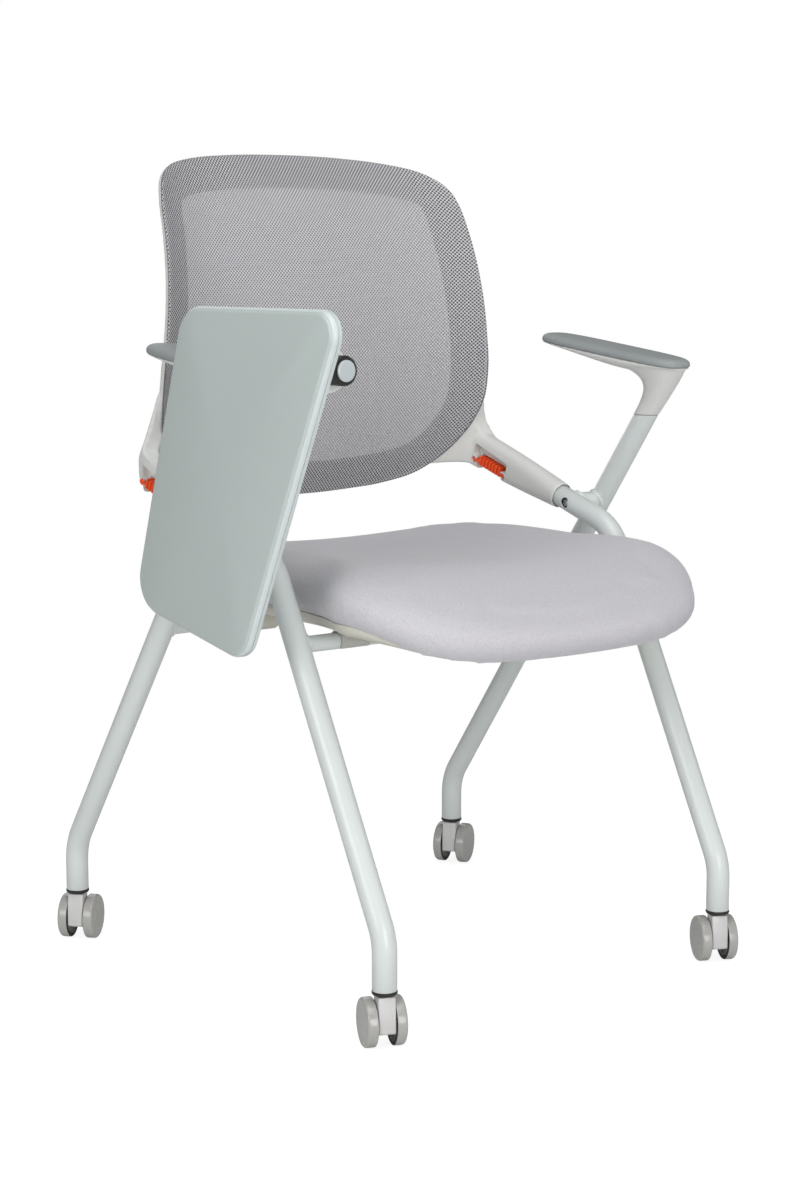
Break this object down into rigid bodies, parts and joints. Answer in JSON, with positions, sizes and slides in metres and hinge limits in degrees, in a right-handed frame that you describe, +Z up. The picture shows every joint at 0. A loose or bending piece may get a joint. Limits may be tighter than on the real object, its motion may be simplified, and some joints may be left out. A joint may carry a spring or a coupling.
{
  "type": "nesting chair",
  "caption": "Nesting office chair on casters with a flip-up padded seat, sprung mesh back, arms and a folding writing tablet.",
  "frame": {"origin": "on the floor under the middle of the chair's bounding box", "axes": "+Z up; the sitter faces -Y; +X is the sitter's left, so the tablet is on the -X side"},
  "size_m": [0.6456, 0.5928, 0.885],
  "materials": {
    "back_net": "woven elastic mesh",
    "black_moulding": "satin",
    "caster_moulding": "satin",
    "orange_elastomer": "satin",
    "pad_skin": "soft matt",
    "painted_tube": "satin paint",
    "pale_moulding": "fine texture",
    "pan_moulding": "fine texture",
    "plywood": "raw",
    "rubber": "matt",
    "seat_cloth": "fine ribbed knit",
    "steel": "plain",
    "tablet_board": "satin"
  },
  "bodies": {
    "frame": {"leg_tube_front_left": "painted_tube", "leg_tube_front_right": "painted_tube", "leg_tube_rear_left": "painted_tube", "leg_tube_rear_right": "painted_tube", "cross_tube_front": "painted_tube", "cross_tube_rear": "painted_tube", "frame_spacer_left": "painted_tube", "frame_spacer_right": "painted_tube", "back_socket_left": "pale_moulding", "back_socket_right": "pale_moulding", "socket_screw_left": "steel", "socket_screw_right": "steel", "flex_spring_left": "orange_elastomer", "flex_spring_right": "orange_elastomer", "seat_rest_left": "rubber", "seat_rest_right": "rubber", "arm_support_left": "pale_moulding", "arm_support_right": "pale_moulding", "arm_pad_left": "pad_skin", "arm_pad_right": "pad_skin", "tablet_bracket": "pale_moulding", "hub_pin": "steel", "caster_collar_front_left": "black_moulding", "caster_collar_front_right": "black_moulding", "caster_collar_rear_left": "black_moulding", "caster_collar_rear_right": "black_moulding"},
    "seat": {"seat_cushion": "seat_cloth", "seat_board": "plywood", "seat_pan": "pan_moulding", "seat_hinge_block_left": "pan_moulding", "seat_hinge_block_right": "pan_moulding"},
    "backrest": {"back_mesh": "back_net", "back_frame": "pale_moulding"},
    "tablet_hub": {"tablet_hub": "black_moulding", "hub_cap": "pale_moulding"},
    "tablet": {"tablet_swivel_disc": "black_moulding", "writing_tablet": "tablet_board"},
    "caster_front_left": {"caster_hood_front_left": "caster_moulding", "caster_stem_front_left": "steel", "caster_axle_front_left": "steel"},
    "wheel_front_left_a": {"caster_wheel_front_left_a": "caster_moulding"},
    "wheel_front_left_b": {"caster_wheel_front_left_b": "caster_moulding"},
    "caster_front_right": {"caster_hood_front_right": "caster_moulding", "caster_stem_front_right": "steel", "caster_axle_front_right": "steel"},
    "wheel_front_right_a": {"caster_wheel_front_right_a": "caster_moulding"},
    "wheel_front_right_b": {"caster_wheel_front_right_b": "caster_moulding"},
    "caster_rear_left": {"caster_hood_rear_left": "caster_moulding", "caster_stem_rear_left": "steel", "caster_axle_rear_left": "steel"},
    "wheel_rear_left_a": {"caster_wheel_rear_left_a": "caster_moulding"},
    "wheel_rear_left_b": {"caster_wheel_rear_left_b": "caster_moulding"},
    "caster_rear_right": {"caster_hood_rear_right": "caster_moulding", "caster_stem_rear_right": "steel", "caster_axle_rear_right": "steel"},
    "wheel_rear_right_a": {"caster_wheel_rear_right_a": "caster_moulding"},
    "wheel_rear_right_b": {"caster_wheel_rear_right_b": "caster_moulding"}
  },
  "joints": [
    {"name": "seat_flip", "type": "hinge", "parent": "frame", "child": "seat", "pos_m": [0.00818, 0.06785, 0.3834], "axis": [-1, 0, 0], "range_deg": [0, 75]},
    {"name": "back_flex", "type": "hinge", "parent": "frame", "child": "backrest", "pos_m": [0.00818, 0.12844, 0.5415], "axis": [-1, 0, 0], "range_deg": [0, 6], "stiffness_Nm_per_rad": 600, "deforming": ["flex_spring_left", "flex_spring_right"]},
    {"name": "tablet_flip", "type": "hinge", "parent": "frame", "child": "tablet_hub", "pos_m": [-0.27182, -0.24456, 0.665], "axis": [0, 1, 0], "range_deg": [0, 90]},
    {"name": "tablet_swivel", "type": "hinge", "parent": "tablet_hub", "child": "tablet", "pos_m": [-0.27182, -0.24456, 0.665], "axis": [1, 0, 0], "range_deg": [0, 160]},
    {"name": "caster_swivel_front_left", "type": "hinge", "parent": "frame", "child": "caster_front_left", "pos_m": [0.24018, -0.25276, 0.025], "axis": [0, 0, 1], "continuous": true},
    {"name": "wheel_spin_front_left_a", "type": "hinge", "parent": "caster_front_left", "child": "wheel_front_left_a", "pos_m": [0.24469, -0.24383, 0.025], "axis": [0.8926, -0.4509, 0], "continuous": true},
    {"name": "wheel_spin_front_left_b", "type": "hinge", "parent": "caster_front_left", "child": "wheel_front_left_b", "pos_m": [0.24469, -0.24383, 0.025], "axis": [0.8926, -0.4509, 0], "continuous": true},
    {"name": "caster_swivel_front_right", "type": "hinge", "parent": "frame", "child": "caster_front_right", "pos_m": [-0.22382, -0.25276, 0.025], "axis": [0, 0, 1], "continuous": true},
    {"name": "wheel_spin_front_right_a", "type": "hinge", "parent": "caster_front_right", "child": "wheel_front_right_a", "pos_m": [-0.22004, -0.2435, 0.025], "axis": [0.9259, -0.3778, 0], "continuous": true},
    {"name": "wheel_spin_front_right_b", "type": "hinge", "parent": "caster_front_right", "child": "wheel_front_right_b", "pos_m": [-0.22004, -0.2435, 0.025], "axis": [0.9259, -0.3778, 0], "continuous": true},
    {"name": "caster_swivel_rear_left", "type": "hinge", "parent": "frame", "child": "caster_rear_left", "pos_m": [0.28358, 0.25964, 0.025], "axis": [0, 0, 1], "continuous": true},
    {"name": "wheel_spin_rear_left_a", "type": "hinge", "parent": "caster_rear_left", "child": "wheel_rear_left_a", "pos_m": [0.29209, 0.26489, 0.025], "axis": [0.5255, -0.8508, 0], "continuous": true},
    {"name": "wheel_spin_rear_left_b", "type": "hinge", "parent": "caster_rear_left", "child": "wheel_rear_left_b", "pos_m": [0.29209, 0.26489, 0.025], "axis": [0.5255, -0.8508, 0], "continuous": true},
    {"name": "caster_swivel_rear_right", "type": "hinge", "parent": "frame", "child": "caster_rear_right", "pos_m": [-0.26722, 0.25964, 0.025], "axis": [0, 0, 1], "continuous": true},
    {"name": "wheel_spin_rear_right_a", "type": "hinge", "parent": "caster_rear_right", "child": "wheel_rear_right_a", "pos_m": [-0.25964, 0.26616, 0.025], "axis": [0.6521, -0.7581, 0], "continuous": true},
    {"name": "wheel_spin_rear_right_b", "type": "hinge", "parent": "caster_rear_right", "child": "wheel_rear_right_b", "pos_m": [-0.25964, 0.26616, 0.025], "axis": [0.6521, -0.7581, 0], "continuous": true}
  ]
}
